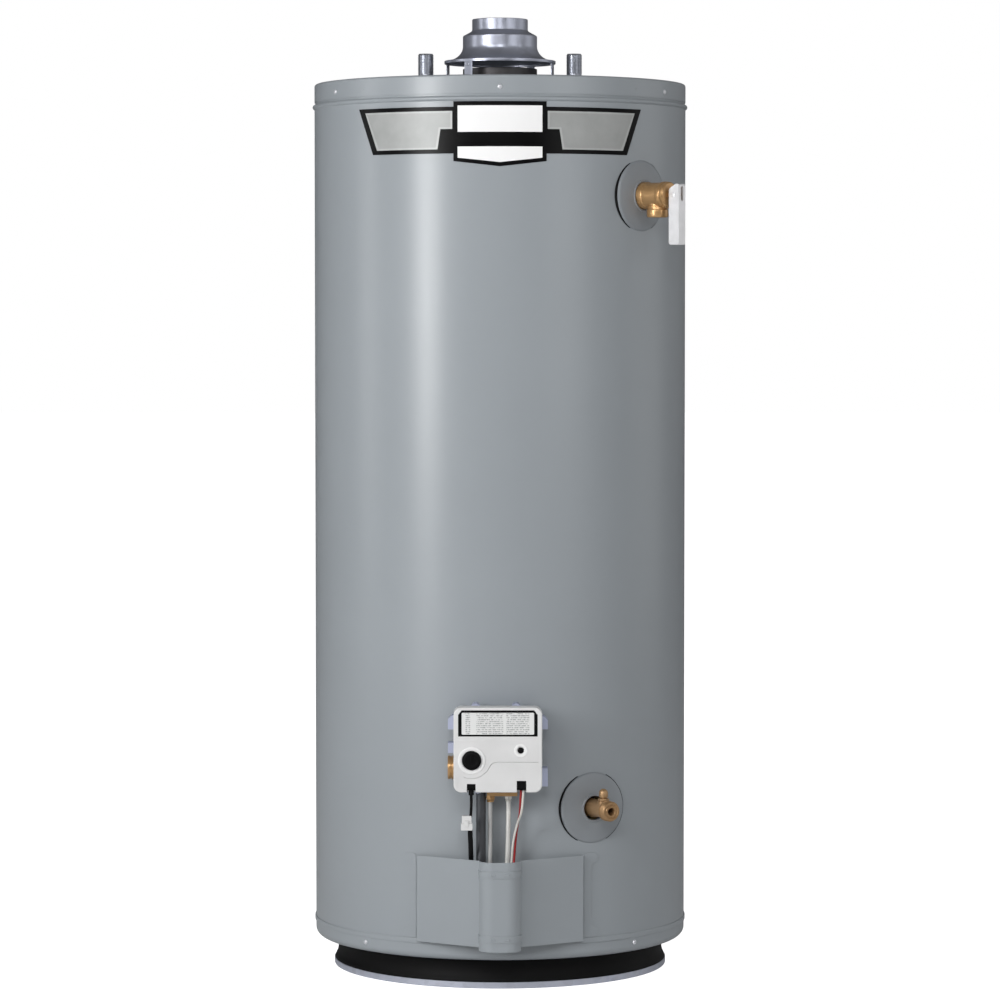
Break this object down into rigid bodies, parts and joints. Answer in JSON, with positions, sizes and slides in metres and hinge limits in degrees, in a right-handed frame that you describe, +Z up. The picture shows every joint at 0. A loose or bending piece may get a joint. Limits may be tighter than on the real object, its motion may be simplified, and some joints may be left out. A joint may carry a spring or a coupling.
{
  "type": "tank water heater",
  "caption": "Upright gas-fired tank water heater: round grey jacket, draft hood on top, relief and drain valves, gas control and pull-off burner door at the front.",
  "frame": {"origin": "on the floor, under the tank's axis, in the middle of the floor pan's underside", "axes": "+Z is up along the tank's axis; the front, with the door and the gas control, faces -Y; +X is to the right seen from the front"},
  "size_m": [0.5131, 0.5766, 1.297],
  "materials": {
    "galvanised": "satin",
    "black_ring": "satin",
    "grey_paint": "satin",
    "zinc_screws": "gloss",
    "foam": "matte",
    "fibre": "matte",
    "tank_steel": "matte",
    "flue_steel": "matte",
    "nipple_steel": "satin",
    "dip_plastic": "satin",
    "anode_metal": "matte",
    "tube_steel": "satin",
    "glass": "gloss",
    "grey_plastic": "satin",
    "brass": "satin",
    "lever_steel": "gloss",
    "black_rubber": "matte",
    "cast_aluminium": "satin",
    "white_plastic": "satin",
    "label_film": "satin",
    "black_plastic": "satin",
    "manifold_finish": "satin",
    "tube_aluminium": "satin",
    "lead_insulation": "satin",
    "badge_black": "gloss",
    "badge_silver": "satin"
  },
  "bodies": {
    "root": {"floor_pan": "galvanised", "base_ring": "black_ring", "base_cover": "grey_paint", "sheet_screws": "zinc_screws", "jacket": "grey_paint", "top_cover": "grey_paint", "foam_insulation": "foam", "belt_insulation": "fibre", "tank_shell": "tank_steel", "tank_heads": "tank_steel", "tank_spuds": "tank_steel", "flue_tube": "flue_steel", "flue_baffle": "flue_steel", "draft_hood": "galvanised", "draft_hood_legs": "galvanised", "cold_nipple": "nipple_steel", "hot_nipple": "nipple_steel", "dip_tube": "dip_plastic", "anode_rod": "anode_metal", "chamber_floor": "flue_steel", "burner": "flue_steel", "pilot_assembly": "tube_steel", "inner_door": "galvanised", "inner_door_gasket": "fibre", "sight_glass": "glass", "door_brackets": "grey_paint", "relief_escutcheon": "grey_plastic", "relief_body": "brass", "relief_bonnet": "brass", "relief_spring": "tube_steel", "drain_escutcheon": "grey_plastic", "drain_body": "brass", "drain_gland": "brass", "control_casting": "cast_aluminium", "control_cover": "white_plastic", "control_label": "label_film", "status_lens": "black_plastic", "knob_spring": "tube_steel", "thermowell": "tube_steel", "gas_inlet_fitting": "brass", "lead_sockets": "black_plastic", "manifold_tube": "manifold_finish", "tube_nuts": "brass", "pilot_tube": "tube_aluminium", "sensor_tube": "tube_steel", "sensor_leads": "lead_insulation", "igniter_lead": "black_rubber", "igniter_connector": "white_plastic", "badge_backing": "badge_black", "badge_wings": "badge_silver", "badge_shield": "label_film"},
    "outer_door": {"outer_door": "grey_paint"},
    "relief_stem": {"relief_stem": "brass"},
    "relief_lever": {"relief_lever": "lever_steel", "relief_lever_pin": "lever_steel"},
    "drain_washer": {"drain_washer": "black_rubber"},
    "drain_stem": {"drain_stem": "brass"},
    "knob_plunger": {"knob_plunger": "cast_aluminium"},
    "knob": {"control_knob": "black_plastic", "knob_shaft": "tube_steel"}
  },
  "joints": [
    {"name": "outer_door_pull", "type": "slide", "parent": "root", "child": "outer_door", "axis": [0, -1, 0], "range_m": [0, 0.15]},
    {"name": "relief_stem_lift", "type": "slide", "parent": "root", "child": "relief_stem", "axis": [0.7373, -0.6756, 0], "range_m": [0, 0.0041], "stiffness_N_per_m": 150, "springref_m": -0.002, "deforming": ["relief_spring"]},
    {"name": "relief_lever_swing", "type": "hinge", "parent": "relief_stem", "child": "relief_lever", "pos_m": [0.23224, -0.21281, 1.051], "axis": [-0.6756, -0.7373, 0], "range_deg": [0, 85]},
    {"name": "drain_stem_rise", "type": "slide", "parent": "root", "child": "drain_washer", "axis": [0, 0, 1], "range_m": [0, 0.0046]},
    {"name": "drain_stem_turn", "type": "hinge", "parent": "drain_washer", "child": "drain_stem", "pos_m": [0.13638, -0.24911, 0.26], "axis": [0, 0, 1], "range_deg": [0, 1080]},
    {"name": "knob_push", "type": "slide", "parent": "root", "child": "knob_plunger", "axis": [0, 1, 0], "range_m": [0, 0.004], "stiffness_N_per_m": 400, "springref_m": -0.004, "deforming": ["knob_spring"]},
    {"name": "knob_turn", "type": "hinge", "parent": "knob_plunger", "child": "knob", "pos_m": [-0.037, -0.314, 0.314], "axis": [0, -1, 0], "range_deg": [0, 240]}
  ],
  "couplings": [
    {"joint": "relief_stem_lift", "follows": "relief_lever_swing", "m_per_rad": 0.0026963},
    {"joint": "drain_stem_rise", "follows": "drain_stem_turn", "m_per_rad": 0.00023873}
  ]
}
